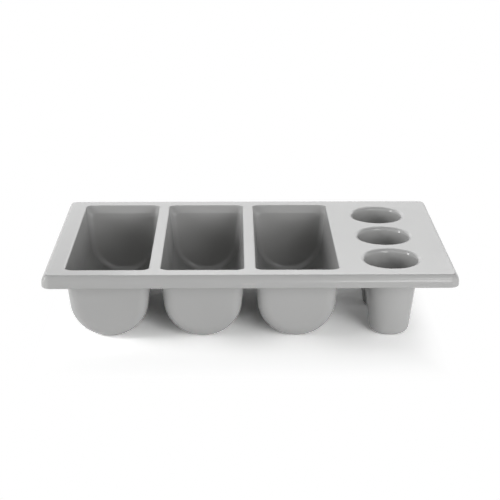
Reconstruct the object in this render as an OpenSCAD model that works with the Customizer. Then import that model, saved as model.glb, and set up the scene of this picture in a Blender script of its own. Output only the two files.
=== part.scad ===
// Cutlery tray that hangs in a full-size gastronorm well or stands on a counter.
// Three long round-bottomed bins lie side by side and three tapered cups stand
// in a column on the right, all under one flat deck with a turned-down lip.
// X runs along the long side, Y from front to back, Z up.
// The origin is under the middle of the tray, on the plane it stands on.

/* [Tray] */
// Length over the lip, along X
tray_l = 530; // [500:1:600]
// Width over the lip, along Y
tray_w = 325; // [300:1:360]
// Height from the standing plane to the deck
tray_h = 100; // [90:1:130]
// Wall of the deck, the lip and the bins
wall = 3; // [2:0.1:4]
// Width of the flat land that ends every opening, flush with the deck
land = 0.5; // [0.3:0.1:1]

/* [Lip] */
// Height of the lip from its lower edge to the deck
lip_h = 17; // [15:0.5:24]
// Distance from the outer face back to the flat of the deck
lip_run = 10; // [9:0.5:11]
// Radius where the deck turns down into the lip
lip_crest_r = 4.5; // [4.2:0.1:5]
// Radius of the bead along the lower edge
lip_bead_r = 4.2; // [4.1:0.1:5]
// Outer corner radius seen from above
lip_corner_r = 12; // [12:0.5:24]

/* [Deck between the openings] */
// From the left face of the lip to the first bin opening
left_margin = 25.4; // [15:0.1:40]
// From the front and back faces of the lip to the bin openings
end_margin = 23.5; // [15:0.5:40]
// Web between two bin openings
bin_web = 9.8; // [4:0.1:20]
// From the last bin opening to the cups
bin_to_cup = 27.9; // [10:0.1:45]
// From the cups to the right face of the lip
right_margin = 40.5; // [15:0.5:60]
// From the front face of the lip to the front cup
cup_front_margin = 26; // [15:0.5:45]
// From the back cup to the back face of the lip
cup_back_margin = 32; // [15:0.5:45]
// Between two cups
cup_gap = 13.5; // [5:0.5:25]

/* [Bins] */
// Corner radius of a bin opening at the deck
bin_corner_r = 13; // [11:0.5:20]
// How far the round trough stays inside the opening, on each side
trough_inset = 8.1; // [5:0.1:12]
// Lean of the end walls
end_draft = 4; // [1:0.5:6]
// How far the lead-in at each end reaches along Y
band_run = 8.5; // [6:0.5:12]
// How far the lead-in at each end drops
band_drop = 9.5; // [7:0.5:12]
// Radius of the rolled edge along each side
side_roll_r = 4; // [3:0.5:6]
// Inner fillet between the end walls and the trough
end_fillet_r = 8; // [6:0.5:12]

/* [Cups] */
// Radius of the rolled edge of a cup
cup_roll_r = 5.4; // [4:0.1:6]
// Lean of the cup wall
cup_taper = 7; // [3:0.5:8]
// Wall of a cup
cup_wall = 2.5; // [2:0.1:3]
// Outer radius around the foot of a cup
cup_foot_r = 9; // [6:0.5:12]

/* [Hidden] */
// Segments of the round children inside each hull
hull_fn = 48;
// Thickness of the plates that close a hull
skin = 0.1;
// Reach of cutting bodies beyond the faces that they cut
over = 1;

// Lip, seen in section: u is measured outwards from the outer face
lip_z = tray_h - lip_h;
crest_c = [-lip_run, tray_h - lip_crest_r];
bead_c = [-lip_bead_r, lip_z + lip_bead_r];
crest_to_bead = bead_c - crest_c;
// Angle of the outward normal of the straight face between crest and bead
face_a = acos((lip_crest_r - lip_bead_r) / norm(crest_to_bead))
    + atan2(crest_to_bead[1], crest_to_bead[0]);
face_n = [cos(face_a), sin(face_a)];

// Three equal cups share the width, three equal bins the length that is left
cup_edge_r = (tray_w - cup_front_margin - cup_back_margin - 2 * cup_gap) / 6;
cup_pitch = 2 * cup_edge_r + cup_gap;
cup_x = tray_l / 2 - right_margin - cup_edge_r;
cup_y = cup_front_margin + cup_edge_r + cup_pitch - tray_w / 2;
bin_open_w = (cup_x - cup_edge_r - bin_to_cup - 2 * bin_web - left_margin + tray_l / 2) / 3;
bin_open_l = tray_w - 2 * end_margin;
bin_pitch = bin_open_w + bin_web;
bin_x = left_margin + bin_open_w / 2 - tray_l / 2;

// Bins: trough axis, side lean that is tangent to trough and rolled edge
bin_edge = bin_open_w / 2;
bin_end = bin_open_l / 2;
trough_r = bin_edge - trough_inset;
ring_r = trough_r - end_fillet_r;
axis_z = (trough_r + wall) * cos(end_draft);
roll_z = tray_h - side_roll_r;
rise = roll_z - axis_z;
side_lean = acos((trough_r + side_roll_r) / norm([bin_edge, rise]))
    - atan2(rise, bin_edge);
band_z = tray_h - band_drop;
wall_end = bin_end - band_run;
// Vertical thickness of the sloped lead-in and the height where its back starts
band_t = wall * norm([band_run, band_drop]) / band_run;
collar_z = tray_h - band_t;
flare_z = band_z - band_t + wall * band_drop / band_run;

// Cups: cone of the outer wall and its foot
cup_axis_z = tray_h - cup_roll_r;
cup_in_r = cup_edge_r - cup_roll_r * cos(cup_taper);
cup_in_z = cup_axis_z + cup_roll_r * sin(cup_taper);
foot_in_r = max(cup_foot_r - cup_wall, 1);
collar_r = cup_edge_r + land;

// Half width of the inside of a bin at height z
function side_at(z) = (trough_r + (z - axis_z) * sin(side_lean)) / cos(side_lean);

// Inner radius of a cup at height z
function cup_at(z) = cup_in_r - (cup_in_z - z) * tan(cup_taper);

// Outer radius of a cup at height z
function cup_out_at(z) = cup_at(z) + cup_wall / cos(cup_taper);

// Rectangle with round corners, given by its half sizes and corner radius
module round_rect(hx, hy, r) {
    square([2 * (hx - r), 2 * hy], center = true);
    square([2 * hx, 2 * (hy - r)], center = true);
    for (sx = [-1, 1]) {
        for (sy = [-1, 1]) {
            translate([sx * (hx - r), sy * (hy - r)]) circle(r = r, $fn = hull_fn);
        }
    }
}

// The same outline as a plate from z upwards
module plate(hx, hy, r, z, t) {
    translate([0, 0, z]) linear_extrude(t) round_rect(hx, hy, r);
}

// Lip section: the outside line of the material
module lip_outside() {
    translate(crest_c) circle(r = lip_crest_r, $fn = 64);
    translate(bead_c) circle(r = lip_bead_r, $fn = 64);
    polygon([crest_c, crest_c + lip_crest_r * face_n, bead_c + lip_bead_r * face_n, bead_c]);
}

// Lip section: the hollow behind the material
module lip_hollow() {
    translate(crest_c) circle(r = lip_crest_r - wall, $fn = 64);
    translate(bead_c) circle(r = lip_bead_r - wall, $fn = 64);
    polygon([
        [-lip_run - lip_crest_r - over, crest_c[1]],
        crest_c,
        crest_c + (lip_crest_r - wall) * face_n,
        bead_c + (lip_bead_r - wall) * face_n,
        bead_c,
        [bead_c[0], lip_z - over],
        [-lip_run - lip_crest_r - over, lip_z - over]
    ]);
}

// Lip section, ending on the seam with the deck
module lip_section() {
    intersection() {
        difference() {
            lip_outside();
            lip_hollow();
        }
        translate([-lip_run, lip_z - over]) square([lip_run + over, lip_h + 2 * over]);
    }
}

// One straight side of the lip with the outer face at the given distance
module lip_side(len, dist, turn) {
    rotate([0, 0, turn]) translate([dist, len / 2, 0])
        rotate([90, 0, 0]) linear_extrude(len) lip_section();
}

module rim_lip() {
    side_x = tray_l - 2 * lip_corner_r;
    side_y = tray_w - 2 * lip_corner_r;
    color([0.84, 0.84, 0.82]) {
        lip_side(side_y, tray_l / 2, 0);
        lip_side(side_x, tray_w / 2, 90);
        lip_side(side_y, tray_l / 2, 180);
        lip_side(side_x, tray_w / 2, 270);
        for (q = [0 : 3]) {
            sx = (q == 0 || q == 3) ? 1 : -1;
            sy = (q < 2) ? 1 : -1;
            translate([sx * side_x / 2, sy * side_y / 2, 0]) rotate([0, 0, 90 * q])
                rotate_extrude(angle = 90, $fn = 96) translate([lip_corner_r, 0]) lip_section();
        }
    }
}

module deck() {
    color([0.86, 0.86, 0.84]) translate([0, 0, tray_h - wall]) linear_extrude(wall) difference() {
        round_rect(tray_l / 2 - lip_run, tray_w / 2 - lip_run, lip_corner_r - lip_run);
        for (i = [0 : 2]) {
            translate([bin_x + i * bin_pitch, 0])
                round_rect(bin_edge + land, bin_end + land, bin_corner_r + land);
        }
        for (i = [-1 : 1]) {
            translate([cup_x, cup_y + i * cup_pitch]) circle(r = collar_r, $fn = 128);
        }
    }
}

// Half ring that rounds the end of the trough; grow adds to the fillet radius
module end_ring(grow) {
    ring_y = wall_end - (band_z - axis_z) * tan(end_draft) - end_fillet_r / cos(end_draft);
    for (s = [0, 180]) {
        rotate([0, 0, s]) translate([0, ring_y, axis_z]) rotate([-end_draft, 0, 0])
            rotate([-90, 0, 0]) rotate_extrude(angle = 180, $fn = hull_fn)
                translate([ring_r, 0]) circle(r = end_fillet_r + grow, $fn = hull_fn / 2);
    }
}

// Drafted body of a bin up to height z: the inside with grow 0, the outside with the wall
module trough(grow, z) {
    half_x = side_at(z) + grow / cos(side_lean);
    half_y = wall_end - (band_z - z) * tan(end_draft) + grow / cos(end_draft);
    hull() {
        end_ring(grow);
        plate(half_x, half_y, end_fillet_r + grow, z - skin, skin);
    }
}

// Inside of the lead-in: sloped at the ends
module flare_inside() {
    hull() {
        plate(side_at(band_z), wall_end, end_fillet_r, band_z - skin, skin);
        plate(bin_edge, bin_end, bin_corner_r, tray_h, over);
    }
}

// Outside of the lead-in, up to the collar
module flare_outside() {
    half_x = side_at(flare_z) + wall / cos(side_lean);
    half_y = wall_end - (band_z - flare_z) * tan(end_draft) + wall / cos(end_draft);
    hull() {
        plate(half_x, half_y, end_fillet_r + wall, flare_z, skin);
        plate(bin_edge, bin_end, bin_corner_r, collar_z - skin, skin);
    }
}

// Straight sides with the rolled edge, as a body of the given length along Y
module side_roll_inside(len) {
    tan_x = bin_edge - side_roll_r * cos(side_lean);
    tan_z = roll_z + side_roll_r * sin(side_lean);
    rotate([90, 0, 0]) linear_extrude(len, center = true) difference() {
        polygon([
            [-side_at(band_z), band_z],
            [side_at(band_z), band_z],
            [tan_x, tan_z],
            [bin_edge, tan_z],
            [bin_edge, tray_h + 2 * over],
            [-bin_edge, tray_h + 2 * over],
            [-bin_edge, tan_z],
            [-tan_x, tan_z]
        ]);
        for (s = [-1, 1]) {
            translate([s * bin_edge, roll_z]) circle(r = side_roll_r, $fn = 64);
        }
    }
}

module bin(i) {
    color([0.83, 0.83, 0.81]) translate([bin_x + i * bin_pitch, 0, 0]) difference() {
        union() {
            trough(wall, flare_z);
            flare_outside();
            plate(bin_edge + land, bin_end + land, bin_corner_r + land, collar_z, band_t);
        }
        trough(0, band_z);
        side_roll_inside(2 * (wall_end - end_fillet_r));
        intersection() {
            flare_inside();
            side_roll_inside(bin_open_l + 2 * over);
        }
    }
}

module bin_left() {
    bin(0);
}

module bin_middle() {
    bin(1);
}

module bin_right() {
    bin(2);
}

// Half section of a tapered cup body with a rounded foot: solid up to height z
module cup_body(base, low, foot, lean, z) {
    foot_x = base + foot * tan(lean) - foot / cos(lean);
    polygon([
        [0, low],
        [foot_x, low],
        [foot_x, low + foot],
        [foot_x + foot * cos(lean), low + foot - foot * sin(lean)],
        [base + (z - low) * tan(lean), z],
        [0, z]
    ]);
    translate([foot_x, low + foot]) circle(r = foot, $fn = 64);
}

// Section of a cup to the right of its axis
module cup_section() {
    step = collar_r - cup_out_at(cup_axis_z);
    difference() {
        union() {
            cup_body(cup_out_at(0), 0, cup_foot_r, cup_taper, cup_axis_z);
            polygon([
                [0, cup_axis_z - step],
                [cup_out_at(cup_axis_z - step), cup_axis_z - step],
                [collar_r, cup_axis_z],
                [collar_r, tray_h],
                [0, tray_h]
            ]);
        }
        cup_body(cup_at(cup_wall), cup_wall, foot_in_r, cup_taper, cup_in_z);
        difference() {
            translate([0, cup_in_z]) square([cup_edge_r, tray_h - cup_in_z + over]);
            translate([cup_edge_r, cup_axis_z]) circle(r = cup_roll_r, $fn = 64);
        }
    }
}

module cup(i) {
    color([0.85, 0.85, 0.83]) translate([cup_x, cup_y + i * cup_pitch, 0])
        rotate_extrude($fn = 128) cup_section();
}

module cup_back() {
    cup(1);
}

module cup_middle() {
    cup(0);
}

module cup_front() {
    cup(-1);
}

deck();
rim_lip();
bin_left();
bin_middle();
bin_right();
cup_back();
cup_middle();
cup_front();
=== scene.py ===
# %% [markdown]
# # Cutlery tray
#
# The object is a grey plastic tray that hangs in a gastronorm well. Three long bins with round bottoms lie
# side by side, and three tapered cups stand in a column on the right. The real tray is one moulding, so
# every surface here has the same plastic, and the pieces meet without a visible seam.
#
# This lesson loads the tray's solids as a fixed frame, rebuilds the curved parts as smooth meshes in the
# same places, gives them a procedural plastic, and sets up the floor, the light and the camera.

import math

import bmesh
import bpy
from mathutils import Matrix, Vector


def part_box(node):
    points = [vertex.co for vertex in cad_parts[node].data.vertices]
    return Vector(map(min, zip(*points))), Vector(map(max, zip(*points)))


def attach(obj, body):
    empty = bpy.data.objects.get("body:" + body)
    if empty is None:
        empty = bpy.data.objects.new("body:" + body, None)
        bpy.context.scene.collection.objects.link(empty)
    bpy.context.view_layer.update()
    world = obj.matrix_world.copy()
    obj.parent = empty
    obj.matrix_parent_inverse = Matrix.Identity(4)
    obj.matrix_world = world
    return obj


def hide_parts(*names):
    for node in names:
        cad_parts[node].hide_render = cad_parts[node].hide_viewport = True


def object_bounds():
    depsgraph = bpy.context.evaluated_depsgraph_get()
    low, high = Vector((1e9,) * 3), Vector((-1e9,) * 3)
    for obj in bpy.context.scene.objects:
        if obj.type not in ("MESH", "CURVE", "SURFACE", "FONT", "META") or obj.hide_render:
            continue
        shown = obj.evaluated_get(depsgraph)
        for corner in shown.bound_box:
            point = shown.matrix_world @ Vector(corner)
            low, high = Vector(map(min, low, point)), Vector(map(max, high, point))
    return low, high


MM = 0.001

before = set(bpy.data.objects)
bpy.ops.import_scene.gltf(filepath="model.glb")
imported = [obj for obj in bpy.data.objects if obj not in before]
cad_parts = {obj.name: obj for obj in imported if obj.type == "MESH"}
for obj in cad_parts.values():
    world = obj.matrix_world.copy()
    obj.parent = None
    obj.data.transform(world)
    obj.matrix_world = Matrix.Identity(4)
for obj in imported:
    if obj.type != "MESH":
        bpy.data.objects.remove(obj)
cad_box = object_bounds()
BODY = "root"
print("nodes:", sorted(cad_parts))
print("box:", [[round(v, 4) for v in corner] for corner in cad_box])

# %% [markdown]
# ## Sizes
#
# Everything is worked out from a few driving sizes. The overall length, width and height, and the place of
# each bin and cup, are read from the frame, so the looks can't drift away from the solids. The radii and
# drafts below are the moulding's own: a round trough of 48 mm radius, end walls that lean 4 degrees so that
# the tray leaves its mould, and a lip that turns down 17 mm.

# %% Driving sizes
LOW, HIGH = Vector(cad_box[0]), Vector(cad_box[1])
TRAY_L = HIGH.x - LOW.x
TRAY_W = HIGH.y - LOW.y
DECK_Z = HIGH.z
WALL = 3 * MM
LAND = 0.5 * MM

LIP_H = 17 * MM
LIP_RUN = 10 * MM
LIP_CREST_R = 3.2 * MM
LIP_FACE_R = 15.8 * MM
LIP_FACE_DROP = 11.5 * MM
LIP_BEAD_R = 2 * MM
LIP_CORNER_R = 12 * MM

BIN_NODES = ("bin_left", "bin_middle", "bin_right")
BIN_CORNER_R = 13 * MM
TROUGH_R = 48 * MM
END_DRAFT = math.radians(4)
BAND_RUN = 8.5 * MM
BAND_DROP = 9.5 * MM
CROWN_R = 5 * MM
CROWN_TURN = math.radians(20)
SIDE_ROLL_R = 1.6 * MM
END_FILLET_R = 8 * MM
END_OUTER_R = 15 * MM

CUP_NODES = ("cup_back", "cup_middle", "cup_front")
CUP_ROLL_Z = 5.4 * MM
CUP_EDGE_R = 0.8 * MM
CUP_CREASE_R = 0.8 * MM
CUP_BAND_R = 40 * MM
CUP_TURNS = (90, 104, 120, 153, 156)
CUP_TAPER = math.radians(7)
CUP_WALL = 2.5 * MM
CUP_FOOT_R = 9 * MM

print("tray %.0f x %.0f x %.0f mm" % (TRAY_L / MM, TRAY_W / MM, DECK_Z / MM))


# %% [markdown]
# ## Small helpers
#
# Every curved line in this tray is a run of arcs, so one helper draws an arc of a section. A second helper
# turns a bare mesh into a finished piece: it merges doubled points, makes the faces point outwards, shades
# the surface smooth, and keeps true corners sharp by their angle.

# %% Arcs and finished pieces
MERGE_DISTANCE = 1e-6
SHARP_ANGLE = math.radians(24)


def arc(centre, radius, start, stop, steps):
    """Points of an arc from one angle to the other, both ends included."""
    turn = (stop - start) / steps
    return [
        (centre[0] + radius * math.cos(start + turn * i), centre[1] + radius * math.sin(start + turn * i))
        for i in range(steps + 1)
    ]


def finish_mesh(mesh, sharp=SHARP_ANGLE):
    """Merge doubled points, point the faces outwards and shade smooth with sharp corners."""
    work = bmesh.new()
    work.from_mesh(mesh)
    bmesh.ops.remove_doubles(work, verts=work.verts, dist=MERGE_DISTANCE)
    bmesh.ops.dissolve_degenerate(work, edges=work.edges, dist=MERGE_DISTANCE)
    bmesh.ops.recalc_face_normals(work, faces=work.faces)
    open_edges = sum(1 for e in work.edges if len(e.link_faces) != 2)
    work.to_mesh(mesh)
    work.free()
    mesh.shade_smooth()
    mesh.set_sharp_from_angle(angle=sharp)
    mesh.update()
    return open_edges


def place_piece(name, mesh, material, node):
    """Put a finished mesh in the scene as the piece that stands for a node."""
    piece = bpy.data.objects.new(name, mesh)
    bpy.context.scene.collection.objects.link(piece)
    open_edges = finish_mesh(mesh)
    mesh.materials.clear()
    mesh.materials.append(material)
    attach(piece, BODY)
    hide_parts(node)
    print("%s: %d faces, %d open edges" % (name, len(mesh.polygons), open_edges))
    return piece


# %% [markdown]
# ## The plastic
#
# The real surface is a light grey polypropylene or ABS with a satin skin. Up close a moulded skin is never
# one flat colour: the mould leaves a fine grain, thick spots sink a little as they cool, cutlery rubs faint
# marks along the bins, and hands polish the edges in patches. One node group makes these effects from Object
# coordinates and from how sharply the mesh bends, and puts out only values that change over the surface.
# Each material places the group with its own values and keeps the shader itself, so that the constant
# settings sit on the shader's own sockets.

# %% The moulded skin group
GRAIN_PER_M = 2200.0
SINK_PER_M = 14.0
PATCHES_PER_M = 60.0
RUB_STRETCH = (1500.0, 30.0, 1500.0)
RUB_RANGE = (0.56, 0.72)
EDGE_RANGE = (0.505, 0.58)
SINK_HEIGHT = 12.0
SINK_GLOSS = 0.10
SINK_TONE = 0.06
RUB_GLOSS = 0.05
RUB_TONE = 0.03
WORN_GLOSS = -0.08
WORN_TONE = 0.08


def make_skin_group():
    """Group of moulded effects: height of grain and sinks, gloss change and tone change."""
    group = bpy.data.node_groups.new("moulded_skin", "ShaderNodeTree")
    face = group.interface
    face.new_socket("Vector", in_out="INPUT", socket_type="NodeSocketVector")
    for name, value in (("Grain", 1.0), ("Sink", 1.0), ("Rub", 1.0), ("Edge", 1.0)):
        socket = face.new_socket(name, in_out="INPUT", socket_type="NodeSocketFloat")
        socket.default_value = value
    for name in ("Height", "Roughness", "Tone"):
        face.new_socket(name, in_out="OUTPUT", socket_type="NodeSocketFloat")
    nodes, links = group.nodes, group.links
    source = nodes.new("NodeGroupInput")
    sink = nodes.new("NodeGroupOutput")

    def noise(scale, detail, stretch=None):
        texture = nodes.new("ShaderNodeTexNoise")
        texture.inputs["Scale"].default_value = scale
        texture.inputs["Detail"].default_value = detail
        if stretch is None:
            links.new(source.outputs["Vector"], texture.inputs["Vector"])
        else:
            mapping = nodes.new("ShaderNodeMapping")
            mapping.inputs["Scale"].default_value = stretch
            links.new(source.outputs["Vector"], mapping.inputs["Vector"])
            links.new(mapping.outputs["Vector"], texture.inputs["Vector"])
        return texture.outputs["Fac"]

    def math_node(operation, *values):
        node = nodes.new("ShaderNodeMath")
        node.operation = operation
        for socket, value in zip(node.inputs, values):
            if isinstance(value, (int, float)):
                socket.default_value = value
            else:
                links.new(value, socket)
        return node.outputs["Value"]

    def mask(value, span):
        ramp = nodes.new("ShaderNodeMapRange")
        ramp.inputs["From Min"].default_value, ramp.inputs["From Max"].default_value = span
        links.new(value, ramp.inputs["Value"])
        return ramp.outputs["Result"]

    grain = noise(GRAIN_PER_M, 2.0)
    sinks = noise(SINK_PER_M, 1.0)
    rub = noise(1.0, 3.0, RUB_STRETCH)
    rubbed = math_node("MULTIPLY", mask(rub, RUB_RANGE), source.outputs["Rub"])

    shape = nodes.new("ShaderNodeNewGeometry")
    edges = mask(shape.outputs["Pointiness"], EDGE_RANGE)
    patches = noise(PATCHES_PER_M, 3.0)
    worn = math_node("MULTIPLY", math_node("MULTIPLY", edges, patches), source.outputs["Edge"])

    fine = math_node("MULTIPLY", grain, source.outputs["Grain"])
    broad = math_node("MULTIPLY", sinks, source.outputs["Sink"])
    height = math_node("ADD", fine, math_node("MULTIPLY", broad, SINK_HEIGHT))
    links.new(height, sink.inputs["Height"])

    def change(name, by_sink, by_rub, by_wear):
        value = math_node("MULTIPLY_ADD", sinks, by_sink, -by_sink / 2)
        value = math_node("ADD", value, math_node("MULTIPLY", rubbed, by_rub))
        value = math_node("ADD", value, math_node("MULTIPLY", worn, by_wear))
        links.new(value, sink.inputs[name])

    change("Roughness", SINK_GLOSS, RUB_GLOSS, WORN_GLOSS)
    change("Tone", SINK_TONE, RUB_TONE, WORN_TONE)
    return group


SKIN_GROUP = make_skin_group()
print("skin group:", len(SKIN_GROUP.nodes), "nodes")

# %% The plastic of each part
PLASTIC = (0.45, 0.45, 0.446, 1.0)
BASE_ROUGHNESS = 0.18
CUP_ROUGHNESS = 0.12
BUMP_DISTANCE = 0.02 * MM


def plastic(name, grain, sink, rub, edge, roughness=BASE_ROUGHNESS):
    """Satin grey plastic with its own amounts of the moulded skin's effects."""
    material = bpy.data.materials.new(name)
    material.use_nodes = True
    nodes, links = material.node_tree.nodes, material.node_tree.links
    shader = nodes["Principled BSDF"]
    shader.inputs["IOR"].default_value = 1.49
    coordinates = nodes.new("ShaderNodeTexCoord")
    skin = nodes.new("ShaderNodeGroup")
    skin.node_tree = SKIN_GROUP
    for effect, amount in (("Grain", grain), ("Sink", sink), ("Rub", rub), ("Edge", edge)):
        skin.inputs[effect].default_value = amount
    links.new(coordinates.outputs["Object"], skin.inputs["Vector"])

    colour = nodes.new("ShaderNodeMix")
    colour.data_type = "RGBA"
    colour.blend_type = "MULTIPLY"
    colour.inputs["Factor"].default_value = 1.0
    colour.inputs["A"].default_value = PLASTIC
    tone = nodes.new("ShaderNodeMath")
    tone.inputs[1].default_value = 1.0
    links.new(skin.outputs["Tone"], tone.inputs[0])
    links.new(tone.outputs["Value"], colour.inputs["B"])
    links.new(colour.outputs["Result"], shader.inputs["Base Color"])

    gloss = nodes.new("ShaderNodeMath")
    gloss.inputs[1].default_value = roughness
    links.new(skin.outputs["Roughness"], gloss.inputs[0])
    links.new(gloss.outputs["Value"], shader.inputs["Roughness"])

    bump = nodes.new("ShaderNodeBump")
    bump.inputs["Distance"].default_value = BUMP_DISTANCE
    links.new(skin.outputs["Height"], bump.inputs["Height"])
    links.new(bump.outputs["Normal"], shader.inputs["Normal"])
    return material


DECK_PLASTIC = plastic("deck_plastic", grain=1.0, sink=1.0, rub=0.4, edge=0.0)
LIP_PLASTIC = plastic("lip_plastic", grain=1.0, sink=1.0, rub=0.5, edge=1.0)
BIN_PLASTIC = plastic("bin_plastic", grain=0.8, sink=1.0, rub=1.0, edge=0.8)
CUP_PLASTIC = plastic("cup_plastic", grain=0.4, sink=1.0, rub=0.6, edge=0.8, roughness=CUP_ROUGHNESS)
print("plastics:", [m.name for m in (DECK_PLASTIC, LIP_PLASTIC, BIN_PLASTIC, CUP_PLASTIC)])

# %% [markdown]
# ## The deck
#
# The deck is a flat plate with round-cornered openings. Its solid already has exactly that shape, so the
# node stays, and only its material changes.

# %% Dress the deck
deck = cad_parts["deck"]
deck.data.materials.clear()
deck.data.materials.append(DECK_PLASTIC)
print("deck:", len(deck.data.polygons), "faces kept")

# %% [markdown]
# ## One sweep for the lip and the cups
#
# The lip is one section carried round a rectangle with round corners, and a cup is one section carried
# round a circle. So one Geometry Nodes tree makes both, with a switch between the two paths. The object's
# own mesh is the section, drawn flat with x outwards, and the tree's inputs give the path. Curve to Mesh
# lays the section's y axis downwards, so heights go in with a minus sign. The tree ends in Realize
# Instances and Set Material, and the result is then turned into a plain mesh.

# %% The sweep tree
def make_sweep_tree():
    """Tree that carries a section round a rectangle with round corners, or round a circle."""
    tree = bpy.data.node_groups.new("sweep_section", "GeometryNodeTree")
    face = tree.interface
    face.new_socket("Section", in_out="INPUT", socket_type="NodeSocketGeometry")
    for name in ("Path length", "Path width", "Path corner"):
        face.new_socket(name, in_out="INPUT", socket_type="NodeSocketFloat")
    face.new_socket("Corner steps", in_out="INPUT", socket_type="NodeSocketInt")
    face.new_socket("Round path", in_out="INPUT", socket_type="NodeSocketBool")
    face.new_socket("Middle", in_out="INPUT", socket_type="NodeSocketVector")
    face.new_socket("Plastic", in_out="INPUT", socket_type="NodeSocketMaterial")
    face.new_socket("Piece", in_out="OUTPUT", socket_type="NodeSocketGeometry")
    nodes, links = tree.nodes, tree.links
    source = nodes.new("NodeGroupInput")
    result = nodes.new("NodeGroupOutput")

    section = nodes.new("GeometryNodeMeshToCurve")
    links.new(source.outputs["Section"], section.inputs["Mesh"])

    path = nodes.new("GeometryNodeCurvePrimitiveQuadrilateral")
    links.new(source.outputs["Path length"], path.inputs["Width"])
    links.new(source.outputs["Path width"], path.inputs["Height"])
    rounded = nodes.new("GeometryNodeFilletCurve")
    rounded.mode = "POLY"
    rounded.inputs["Limit Radius"].default_value = True
    links.new(path.outputs["Curve"], rounded.inputs["Curve"])
    links.new(source.outputs["Corner steps"], rounded.inputs["Count"])
    links.new(source.outputs["Path corner"], rounded.inputs["Radius"])

    circle = nodes.new("GeometryNodeCurvePrimitiveCircle")
    links.new(source.outputs["Path corner"], circle.inputs["Radius"])
    around = nodes.new("ShaderNodeMath")
    around.operation = "MULTIPLY"
    around.inputs[1].default_value = 4.0
    links.new(source.outputs["Corner steps"], around.inputs[0])
    links.new(around.outputs["Value"], circle.inputs["Resolution"])
    chosen = nodes.new("GeometryNodeSwitch")
    chosen.input_type = "GEOMETRY"
    links.new(source.outputs["Round path"], chosen.inputs["Switch"])
    links.new(rounded.outputs["Curve"], chosen.inputs["False"])
    links.new(circle.outputs["Curve"], chosen.inputs["True"])
    upright = nodes.new("GeometryNodeSetCurveNormal")
    upright.mode = "Z_UP"
    links.new(chosen.outputs["Output"], upright.inputs["Curve"])

    sweep = nodes.new("GeometryNodeCurveToMesh")
    links.new(upright.outputs["Curve"], sweep.inputs["Curve"])
    links.new(section.outputs["Curve"], sweep.inputs["Profile Curve"])
    moved = nodes.new("GeometryNodeTransform")
    links.new(sweep.outputs["Mesh"], moved.inputs["Geometry"])
    links.new(source.outputs["Middle"], moved.inputs["Translation"])
    real = nodes.new("GeometryNodeRealizeInstances")
    links.new(moved.outputs["Geometry"], real.inputs["Geometry"])
    dressed = nodes.new("GeometryNodeSetMaterial")
    links.new(real.outputs["Geometry"], dressed.inputs["Geometry"])
    links.new(source.outputs["Plastic"], dressed.inputs["Material"])
    links.new(dressed.outputs["Geometry"], result.inputs["Piece"])
    return tree


SWEEP_TREE = make_sweep_tree()
print("sweep tree:", len(SWEEP_TREE.nodes), "nodes")


# %% Sweep a section into a plain mesh
def section_mesh(name, points, closed):
    """Mesh of bare edges through the points of a section."""
    mesh = bpy.data.meshes.new(name)
    count = len(points)
    edges = [(i, i + 1) for i in range(count - 1)]
    if closed:
        edges.append((count - 1, 0))
    mesh.from_pydata([(x, -y, 0.0) for x, y in points], edges, [])
    return mesh


def sweep(name, points, length, width, corner, steps, middle, material, turned=False):
    """Run the sweep tree on a section and return a plain mesh; a turned piece has an open section."""
    closed = not turned
    carrier = bpy.data.objects.new(name + "_section", section_mesh(name + "_section", points, closed))
    bpy.context.scene.collection.objects.link(carrier)
    modifier = carrier.modifiers.new("sweep", "NODES")
    modifier.node_group = SWEEP_TREE
    values = {
        "Path length": length,
        "Path width": width,
        "Path corner": corner,
        "Corner steps": steps,
        "Round path": turned,
        "Middle": middle,
        "Plastic": material,
    }
    for item in SWEEP_TREE.interface.items_tree:
        if item.in_out == "INPUT" and item.name in values:
            modifier[item.identifier] = values[item.name]
    depsgraph = bpy.context.evaluated_depsgraph_get()
    mesh = bpy.data.meshes.new_from_object(carrier.evaluated_get(depsgraph))
    mesh.name = name
    bpy.data.objects.remove(carrier)
    return mesh


# %% [markdown]
# ## The lip
#
# The deck turns down over a tight crest into a lip with a full, bulging face that ends upright in a small
# rounded edge. Each arc of the section starts where the last one ends and in the same direction, so light
# runs over it without a break. The inside is the same line, one wall further in. The sweep starts at the
# flat of the deck, so the crest continues the deck without a seam.

# %% Section and sweep of the lip
ARC_STEPS = 12
TIGHT_ARC_STEPS = 4
LIP_CORNER_STEPS = 16
LIP_INNER_R = 1 * MM


def lip_section():
    """Closed section of the lip: outside from the deck to the lower edge, then back along the inside."""
    reach = LIP_FACE_R - LIP_CREST_R
    turn = math.asin((LIP_FACE_DROP - LIP_CREST_R) / reach)
    face = (-LIP_FACE_R, DECK_Z - LIP_FACE_DROP)
    crest = (face[0] + reach * math.cos(turn), face[1] + reach * math.sin(turn))
    low = DECK_Z - LIP_H
    edge = (-LIP_BEAD_R, low + LIP_BEAD_R)
    up, down = math.radians(90), math.radians(-90)
    outside = [(-LIP_RUN, DECK_Z)]
    outside += arc(crest, LIP_CREST_R, up, turn, ARC_STEPS)
    outside += arc(face, LIP_FACE_R, turn, 0, ARC_STEPS)[1:]
    outside += arc(edge, LIP_BEAD_R, 0, down, ARC_STEPS)
    inside = [
        (-WALL + LIP_INNER_R, low),
        (-WALL + LIP_INNER_R * 0.3, low + LIP_INNER_R * 0.3),
        (-WALL, low + LIP_INNER_R),
    ]
    inside += arc(face, LIP_FACE_R - WALL, 0, turn, ARC_STEPS)
    inside += arc(crest, LIP_CREST_R - WALL, turn, up, TIGHT_ARC_STEPS)[1:]
    inside += [(-LIP_RUN, DECK_Z - WALL)]
    return outside + inside


lip_mesh = sweep(
    "lip", lip_section(), TRAY_L, TRAY_W, LIP_CORNER_R, LIP_CORNER_STEPS, (0, 0, 0), LIP_PLASTIC
)
lip = place_piece("lip", lip_mesh, LIP_PLASTIC, "rim_lip")
print("lip box:", [tuple(round(v, 4) for v in c) for c in (lip.bound_box[0], lip.bound_box[6])])

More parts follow.
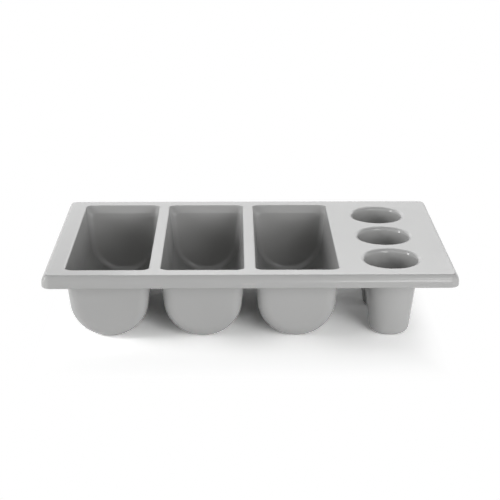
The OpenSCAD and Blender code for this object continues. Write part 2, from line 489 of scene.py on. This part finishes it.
# %% [markdown]
# ## The cups
#
# A cup is a cone with a lean of 7 degrees and a rounded foot. Its mouth has a small round at the deck, then
# a shallow bulging face, the lead-in, then a tight crease and a narrow, almost flat band that ends on the
# wall. The band catches a lamp in a short bright dash. The directions where these arcs meet are listed in
# degrees, and the radius of the face is the one that brings the band's lower edge onto the wall.
#
# The section is open: it starts and ends on the axis, where the sweep closes into a pole that the merge
# step joins. The path is a circle through the outer edge of the mouth, so the axis lies at minus that
# radius.

# %% Section and sweep of the cups
CUP_CORNER_STEPS = 24
MOUTH_ARC_STEPS = 6


def lead_in(edge_r, inner):
    """Mouth of a cup, from the deck down to the wall, whose radius at height z is inner(z)."""
    turns = [math.radians(turn) for turn in CUP_TURNS] + [math.radians(180) - CUP_TAPER]

    def mouth(face_r):
        radii = (CUP_EDGE_R, face_r, CUP_CREASE_R, CUP_BAND_R, CUP_CREASE_R)
        points = [(edge_r, DECK_Z)]
        for radius, start, stop in zip(radii, turns, turns[1:]):
            x, z = points[-1]
            centre = (x - radius * math.cos(start), z - radius * math.sin(start))
            points += arc(centre, radius, start, stop, MOUTH_ARC_STEPS)[1:]
        return points

    def gap(face_r):
        x, z = mouth(face_r)[-1]
        return x - inner(z)

    return mouth(gap(0) / (gap(0) - gap(1)))


def cup_section(edge_r, collar_r):
    """Open section of a cup from the foot's middle round the outside to the floor's middle."""
    lean = CUP_TAPER
    roll_z = DECK_Z - CUP_ROLL_Z
    in_r = edge_r - CUP_ROLL_Z * math.cos(lean)
    in_z = roll_z + CUP_ROLL_Z * math.sin(lean)

    def inner(z):
        return in_r - (in_z - z) * math.tan(lean)

    def outer(z):
        return inner(z) + CUP_WALL / math.cos(lean)

    def foot(base, low, radius):
        x = base + radius * math.tan(lean) - radius / math.cos(lean)
        return (x, low + radius)

    out_foot = foot(outer(0), 0, CUP_FOOT_R)
    in_foot_r = CUP_FOOT_R - CUP_WALL
    in_foot = foot(inner(CUP_WALL), CUP_WALL, in_foot_r)
    step = collar_r - outer(roll_z)
    down, side = math.radians(-90), -lean
    points = [(0, 0), (out_foot[0] / 2, 0)]
    points += arc(out_foot, CUP_FOOT_R, down, side, ARC_STEPS)
    points += [(outer(roll_z * k / 4), roll_z * k / 4) for k in (1, 2, 3)]
    points += [(outer(roll_z - step), roll_z - step), (collar_r, roll_z), (collar_r, DECK_Z)]
    points += lead_in(edge_r, inner)
    points += [(inner(in_z * k / 4), in_z * k / 4) for k in (3, 2, 1)]
    points += arc(in_foot, in_foot_r, side, down, ARC_STEPS)
    points += [(in_foot[0] / 2, CUP_WALL), (0, CUP_WALL)]
    return points


cups = []
for node in CUP_NODES:
    low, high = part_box(node)
    collar_r = (high.x - low.x) / 2
    edge_r = collar_r - LAND
    middle = ((low.x + high.x) / 2, (low.y + high.y) / 2, 0)
    points = [(x - edge_r, y) for x, y in cup_section(edge_r, collar_r)]
    mesh = sweep(
        node + "_shell", points, edge_r, edge_r, edge_r, CUP_CORNER_STEPS, middle, CUP_PLASTIC, turned=True
    )
    cups.append(place_piece(node + "_shell", mesh, CUP_PLASTIC, node))


# %% [markdown]
# ## The bins
#
# A bin is a round trough between two leaning end walls, with a fillet where they meet. It can't be swept,
# because its ends close. Instead it is lofted from level rings, as a shipwright draws waterlines: each ring
# is the bin's outline at one height. Below the trough's axis the ring's half width is a chord of the trough
# and its ends follow the fillet; above it the sides lean outwards on a tangent. At the top the ends open
# into a sloped lead-in and the sides roll over into the deck, and the two meet in a mitred corner.
#
# A ring is built as one quarter, from the middle of the end to the middle of the side, and mirrored.

# %% Quarter rings
END_STEPS = 5
CORNER_STEPS = 10
SIDE_STEPS = 10


def bin_numbers(node):
    """Derived sizes of a bin, from its node's box."""
    low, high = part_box(node)
    n = {}
    n["x"] = (low.x + high.x) / 2
    n["edge"] = (high.x - low.x) / 2 - LAND
    n["end"] = (high.y - low.y) / 2 - LAND
    n["axis_z"] = (TROUGH_R + WALL) * math.cos(END_DRAFT)
    n["roll_x"] = n["edge"] - (CROWN_R - SIDE_ROLL_R) * math.sin(CROWN_TURN)
    n["roll_z"] = DECK_Z - CROWN_R + (CROWN_R - SIDE_ROLL_R) * math.cos(CROWN_TURN)
    rise = n["roll_z"] - n["axis_z"]
    far = math.hypot(n["roll_x"], rise)
    n["lean"] = math.acos((TROUGH_R + SIDE_ROLL_R) / far) - math.atan2(rise, n["roll_x"])
    n["band_z"] = DECK_Z - BAND_DROP
    n["wall_end"] = n["end"] - BAND_RUN
    return n


def side_at(n, z):
    """Half width of the inside at height z, on the leaning part."""
    return (TROUGH_R + (z - n["axis_z"]) * math.sin(n["lean"])) / math.cos(n["lean"])


def quarter(z, end_x, end_y, corner, side_x):
    """Quarter ring: along the end, round the corner points, then along the side to its middle."""
    points = [(end_x * i / END_STEPS, end_y, z) for i in range(END_STEPS)]
    points += [(x, y, z) for x, y in corner]
    last_y = corner[-1][1]
    points += [(side_x, last_y * (1 - i / SIDE_STEPS), z) for i in range(1, SIDE_STEPS + 1)]
    return points


def body_ring(n, z, grow):
    """Ring of the trough at height z: the inside with grow 0, the outside with the wall."""
    radius, fillet = TROUGH_R + grow, END_OUTER_R if grow else END_FILLET_R
    ring_r = radius - fillet
    end_y = n["wall_end"] - (n["band_z"] - z) * math.tan(END_DRAFT) + grow / math.cos(END_DRAFT)
    ring_y = end_y - fillet / math.cos(END_DRAFT)
    depth = (n["axis_z"] - z) / math.cos(END_DRAFT)
    touch = radius * math.sin(n["lean"])
    if depth > touch:
        first = math.asin(min(1, max(0, (depth - ring_r) / fillet)))
        turns = [first + (math.pi / 2 - first) * i / CORNER_STEPS for i in range(CORNER_STEPS + 1)]
        reach = [ring_r + fillet * math.sin(t) for t in turns]
        xs = [math.sqrt(max(0, r * r - depth * depth)) for r in reach]
    else:
        wide = side_at(n, z) + grow / math.cos(n["lean"])
        turns = [math.pi / 2 * i / CORNER_STEPS for i in range(CORNER_STEPS + 1)]
        xs = [wide - fillet + fillet * math.sin(t) for t in turns]
    ys = [ring_y + fillet * math.cos(t) / math.cos(END_DRAFT) for t in turns]
    return quarter(z, xs[0], ys[0], list(zip(xs, ys)), xs[-1])


def plan_ring(z, half_x, half_y, radius, clip=None):
    """Ring of a rectangle with round corners; clip cuts the sides at that half width."""
    side_x = half_x if clip is None else min(half_x, clip)
    last = math.asin(min(1, max(-1, (side_x - half_x + radius) / radius)))
    turns = [last * i / CORNER_STEPS for i in range(CORNER_STEPS + 1)]
    corner = [(half_x - radius + radius * math.sin(t), half_y - radius + radius * math.cos(t)) for t in turns]
    return quarter(z, half_x - radius, half_y, corner, side_x)


# %% [markdown]
# The rings' heights are chosen where the shape turns. In the trough they sit at equal angles round its
# axis, so the round bottom gets even facets; in the rolled edge they sit at equal angles round the roll.
# The lead-in bulges a little towards the bin, which spreads its shade as on the real moulding.

# %% Loft a bin from its rings
TROUGH_STEPS = 28
WALL_STEPS = 6
BAND_STEPS = 6
ROLL_STEPS = 10
CROWN_STEPS = 4
BAND_BULGE = 1.0 * MM


def trough_heights(n, grow, top):
    """Heights from the bottom line of the trough up to the given top."""
    radius = (TROUGH_R + grow) * math.cos(END_DRAFT)
    stop = math.pi / 2 - n["lean"]
    heights = [n["axis_z"] - radius * math.cos(stop * i / TROUGH_STEPS) for i in range(TROUGH_STEPS + 1)]
    first = heights[-1]
    return heights + [first + (top - first) * i / WALL_STEPS for i in range(1, WALL_STEPS + 1)]


def inside_rings(n):
    """Quarter rings of the inside, from the bottom line to the deck."""
    rings = [body_ring(n, z, 0) for z in trough_heights(n, 0, n["band_z"])]
    lean, roll_z = n["lean"], n["roll_z"]
    touch_z = roll_z + SIDE_ROLL_R * math.sin(lean)
    top_turn = math.pi / 2 - CROWN_TURN
    rolled = [lean + (top_turn - lean) * i / ROLL_STEPS for i in range(ROLL_STEPS + 1)]
    crowned = [CROWN_TURN * (1 - i / CROWN_STEPS) for i in range(1, CROWN_STEPS + 1)]
    levels = [(n["band_z"] + (touch_z - n["band_z"]) * i / BAND_STEPS, None) for i in range(1, BAND_STEPS)]
    levels += [(roll_z + SIDE_ROLL_R * math.sin(t), n["roll_x"] - SIDE_ROLL_R * math.cos(t)) for t in rolled]
    levels += [(DECK_Z - CROWN_R * (1 - math.cos(t)), n["edge"] - CROWN_R * math.sin(t)) for t in crowned]
    narrow = side_at(n, n["band_z"])
    for z, clip in levels:
        share = (z - n["band_z"]) / BAND_DROP
        bulge = 4 * BAND_BULGE * share * (1 - share)
        half_x = narrow + (n["edge"] - narrow) * share
        half_y = n["wall_end"] + BAND_RUN * share - bulge
        radius = END_FILLET_R + (BIN_CORNER_R - END_FILLET_R) * share
        rings.append(plan_ring(z, half_x, half_y, radius, side_at(n, z) if clip is None else clip))
    return rings


def outside_rings(n):
    """Quarter rings of the outside, from the deck down the collar and the wall to the bottom line."""
    band_t = WALL * math.hypot(BAND_RUN, BAND_DROP) / BAND_RUN
    collar_z = DECK_Z - band_t
    flare_z = n["band_z"] - band_t + WALL * BAND_DROP / BAND_RUN
    rings = [plan_ring(z, n["edge"] + LAND, n["end"] + LAND, BIN_CORNER_R + LAND) for z in (DECK_Z, collar_z)]
    rings.append(plan_ring(collar_z, n["edge"], n["end"], BIN_CORNER_R))
    rings += [body_ring(n, z, WALL) for z in reversed(trough_heights(n, WALL, flare_z))]
    return rings


def mirror_ring(points, x):
    """Whole ring from its quarter, round the bin's middle."""
    first = [(px, py) for px, py, _ in points]
    z = points[0][2]
    right_back = first
    right_front = [(px, -py) for px, py in reversed(first[:-1])]
    left_front = [(-px, -py) for px, py in first[1:]]
    left_back = [(-px, py) for px, py in reversed(first[1:-1])]
    return [(x + px, py, z) for px, py in right_back + right_front + left_front + left_back]


def loft(name, rings):
    """Mesh of quads between rings that all have the same number of points."""
    count = len(rings[0])
    points = [p for ring in rings for p in ring]
    faces = []
    for k in range(len(rings) - 1):
        for i in range(count):
            j = (i + 1) % count
            faces.append((k * count + i, k * count + j, (k + 1) * count + j, (k + 1) * count + i))
    mesh = bpy.data.meshes.new(name)
    mesh.from_pydata(points, [], faces)
    return mesh


bins = []
for node in BIN_NODES:
    n = bin_numbers(node)
    rings = [mirror_ring(ring, n["x"]) for ring in inside_rings(n) + outside_rings(n)]
    mesh = loft(node + "_shell", rings)
    bins.append(place_piece(node + "_shell", mesh, BIN_PLASTIC, node))

# %% [markdown]
# ## Floor
#
# The tray stands on a white table. The lamps stand low, so they graze the table and leave it grey, while
# the photograph is exposed for a white one. The camera, and the tray's reflections of the table, therefore
# see a brighter skin than the rest of the light does: the same shadows, lifted to white in the open. Outside
# a soft-edged box round the tray they see plain white, so the table runs into the background without a
# horizon, and the shadow fades out where it does in the photograph.

# %% Floor
FLOOR_SIZE = 30.0
FLOOR_WHITE = (0.86, 0.86, 0.86, 1.0)
FLOOR_LIFT = 2.2
SHADOW_MIDDLE = (-0.012, 0.0, 0.0)
SHADOW_REACH = ((0.20, 0.265), (0.145, 0.26))


def direct_rays(nodes, links):
    """Output that is 1 for rays of the camera, of reflections and of glass, and 0 for other light."""
    rays = nodes.new("ShaderNodeLightPath")
    seen = rays.outputs["Is Camera Ray"]
    for kind in ("Is Glossy Ray", "Is Transmission Ray"):
        either = nodes.new("ShaderNodeMath")
        either.operation = "MAXIMUM"
        links.new(seen, either.inputs[0])
        links.new(rays.outputs[kind], either.inputs[1])
        seen = either.outputs["Value"]
    return seen


def make_floor():
    """Large white floor under the tray that keeps the tray's shadow."""
    mesh = bpy.data.meshes.new("floor")
    half = FLOOR_SIZE / 2
    corners = [(-half, -half, 0), (half, -half, 0), (half, half, 0), (-half, half, 0)]
    mesh.from_pydata(corners, [], [(0, 1, 2, 3)])
    floor = bpy.data.objects.new("floor", mesh)
    bpy.context.scene.collection.objects.link(floor)
    material = bpy.data.materials.new("floor_white")
    material.use_nodes = True
    nodes, links = material.node_tree.nodes, material.node_tree.links
    nodes.remove(nodes["Principled BSDF"])
    table = nodes.new("ShaderNodeBsdfDiffuse")
    table.inputs["Color"].default_value = FLOOR_WHITE
    lifted = nodes.new("ShaderNodeBsdfDiffuse")
    lifted.inputs["Color"].default_value = [v * FLOOR_LIFT for v in FLOOR_WHITE[:3]] + [1.0]
    plain = nodes.new("ShaderNodeEmission")
    plain.inputs["Strength"].default_value = 1.0

    coordinates = nodes.new("ShaderNodeTexCoord")
    centred = nodes.new("ShaderNodeVectorMath")
    centred.operation = "SUBTRACT"
    centred.inputs[1].default_value = SHADOW_MIDDLE
    distance = nodes.new("ShaderNodeVectorMath")
    distance.operation = "ABSOLUTE"
    axes = nodes.new("ShaderNodeSeparateXYZ")
    links.new(coordinates.outputs["Object"], centred.inputs[0])
    links.new(centred.outputs["Vector"], distance.inputs[0])
    links.new(distance.outputs["Vector"], axes.inputs["Vector"])
    far = nodes.new("ShaderNodeMath")
    far.operation = "MAXIMUM"
    for socket, axis, (start, stop) in zip(far.inputs, "XY", SHADOW_REACH):
        edge = nodes.new("ShaderNodeMapRange")
        edge.interpolation_type = "SMOOTHSTEP"
        edge.inputs["From Min"].default_value, edge.inputs["From Max"].default_value = start, stop
        links.new(axes.outputs[axis], edge.inputs["Value"])
        links.new(edge.outputs["Result"], socket)

    seen = nodes.new("ShaderNodeMixShader")
    links.new(far.outputs["Value"], seen.inputs[0])
    links.new(lifted.outputs["BSDF"], seen.inputs[1])
    links.new(plain.outputs["Emission"], seen.inputs[2])
    skin = nodes.new("ShaderNodeMixShader")
    links.new(direct_rays(nodes, links), skin.inputs[0])
    links.new(table.outputs["BSDF"], skin.inputs[1])
    links.new(seen.outputs["Shader"], skin.inputs[2])
    links.new(skin.outputs["Shader"], nodes["Material Output"].inputs["Surface"])
    mesh.materials.append(material)
    return floor


floor = make_floor()
print("floor:", FLOOR_SIZE, "m")

# %% [markdown]
# ## Light
#
# The highlights on the cups' edges and on the lip show where the lamps stand: soft boxes on the left, a
# little in front of the tray, and others in front on the right, all of them low. A long white card behind
# the tray and a softer lamp above it brighten the deck, which mirrors them at a flat angle. Little light
# comes straight down, so the bins and cups stay dark inside.
#
# The broad lamps light the tray but aren't mirrored in it. Narrow ones, the glints, stand in the same places
# and make the highlights, so that the flat deck doesn't flash white when it is seen from the other sides.
#
# The world gives a low level of light everywhere. The camera and glossy reflections see it as plain white.

# %% World
WORLD_LIGHT = 0.04


def make_world():
    """White surroundings: a low level of light, plain white for the camera and for reflections."""
    world = bpy.data.worlds.new("studio")
    bpy.context.scene.world = world
    world.use_nodes = True
    nodes, links = world.node_tree.nodes, world.node_tree.links
    nodes.clear()
    out = nodes.new("ShaderNodeOutputWorld")
    light = nodes.new("ShaderNodeBackground")
    light.inputs["Strength"].default_value = WORLD_LIGHT
    shown = nodes.new("ShaderNodeBackground")
    shown.inputs["Strength"].default_value = 1.0
    for background in (light, shown):
        background.inputs["Color"].default_value = (1.0, 1.0, 1.0, 1.0)
    mix = nodes.new("ShaderNodeMixShader")
    links.new(direct_rays(nodes, links), mix.inputs[0])
    links.new(light.outputs["Background"], mix.inputs[1])
    links.new(shown.outputs["Background"], mix.inputs[2])
    links.new(mix.outputs["Shader"], out.inputs["Surface"])


make_world()
print("world light:", WORLD_LIGHT)

# %% Lamps
LAMP_AIM = Vector((0, 0, 0.05))
LAMPS = (
    # name, turn from the back towards the right, height angle, distance, width, height, power, mirrored
    ("left_high", 265, 17, 2.2, 0.9, 0.9, 17, False),
    ("left_glint", 263, 27, 2.2, 0.4, 0.6, 7.5, True),
    ("left_low", 252, 8, 2.2, 0.9, 0.9, 11, False),
    ("front_right", 150, 9, 2.2, 1.1, 1.0, 20, False),
    ("front_glint", 152, 29, 2.2, 0.8, 0.4, 4.2, True),
    ("front_strip", 164, 11, 2.2, 0.6, 0.4, 4, True),
    ("right_side", 124, 11, 2.2, 0.9, 0.9, 5.5, False),
    ("back_card", 0, 29, 1.5, 2.6, 0.9, 7.7, True),
    ("back_top", 10, 41, 2.4, 1.6, 1.6, 9.5, True),
)


def soft_lamp(name, turn, rise, distance, width, height, power, mirrored):
    """Rectangular soft lamp around the tray, turned to it and unseen by the camera."""
    data = bpy.data.lights.new(name, "AREA")
    data.shape = "RECTANGLE"
    data.size, data.size_y = width, height
    data.energy = power
    lamp = bpy.data.objects.new(name, data)
    bpy.context.scene.collection.objects.link(lamp)
    a, e = math.radians(turn), math.radians(rise)
    place = Vector((math.sin(a) * math.cos(e), math.cos(a) * math.cos(e), math.sin(e))) * distance
    facing = (LAMP_AIM - place).to_track_quat("-Z", "Y").to_matrix().to_4x4()
    lamp.matrix_world = Matrix.Translation(place) @ facing
    lamp.visible_camera = False
    lamp.visible_glossy = mirrored
    print("%s: %.0f W at %s" % (name, power, [round(v, 2) for v in place]))
    return lamp


for values in LAMPS:
    soft_lamp(*values)

# %% [markdown]
# ## Camera
#
# The place and lens were found by fitting a camera to the tray's edges in the photograph. It looks down at
# the tray from the front, a little left of its middle.

# %% Camera
CAMERA_PLACE = (-0.02106, -1.68728, 0.66745)
CAMERA_PITCH = math.radians(70.753)
CAMERA_ROLL = math.radians(0.083)
CAMERA_YAW = math.radians(-0.757)
CAMERA_LENS = 93.16


def make_camera():
    """Camera at the photograph's viewpoint."""
    data = bpy.data.cameras.new("camera")
    data.sensor_width = 36.0
    data.lens = CAMERA_LENS
    camera = bpy.data.objects.new("camera", data)
    bpy.context.scene.collection.objects.link(camera)
    turn = Matrix.Rotation(CAMERA_YAW, 4, "Z") @ Matrix.Rotation(CAMERA_PITCH, 4, "X")
    turn = turn @ Matrix.Rotation(CAMERA_ROLL, 4, "Z")
    camera.matrix_world = Matrix.Translation(CAMERA_PLACE) @ turn
    bpy.context.scene.camera = camera
    return camera


camera = make_camera()
bpy.context.scene.view_settings.view_transform = "Standard"
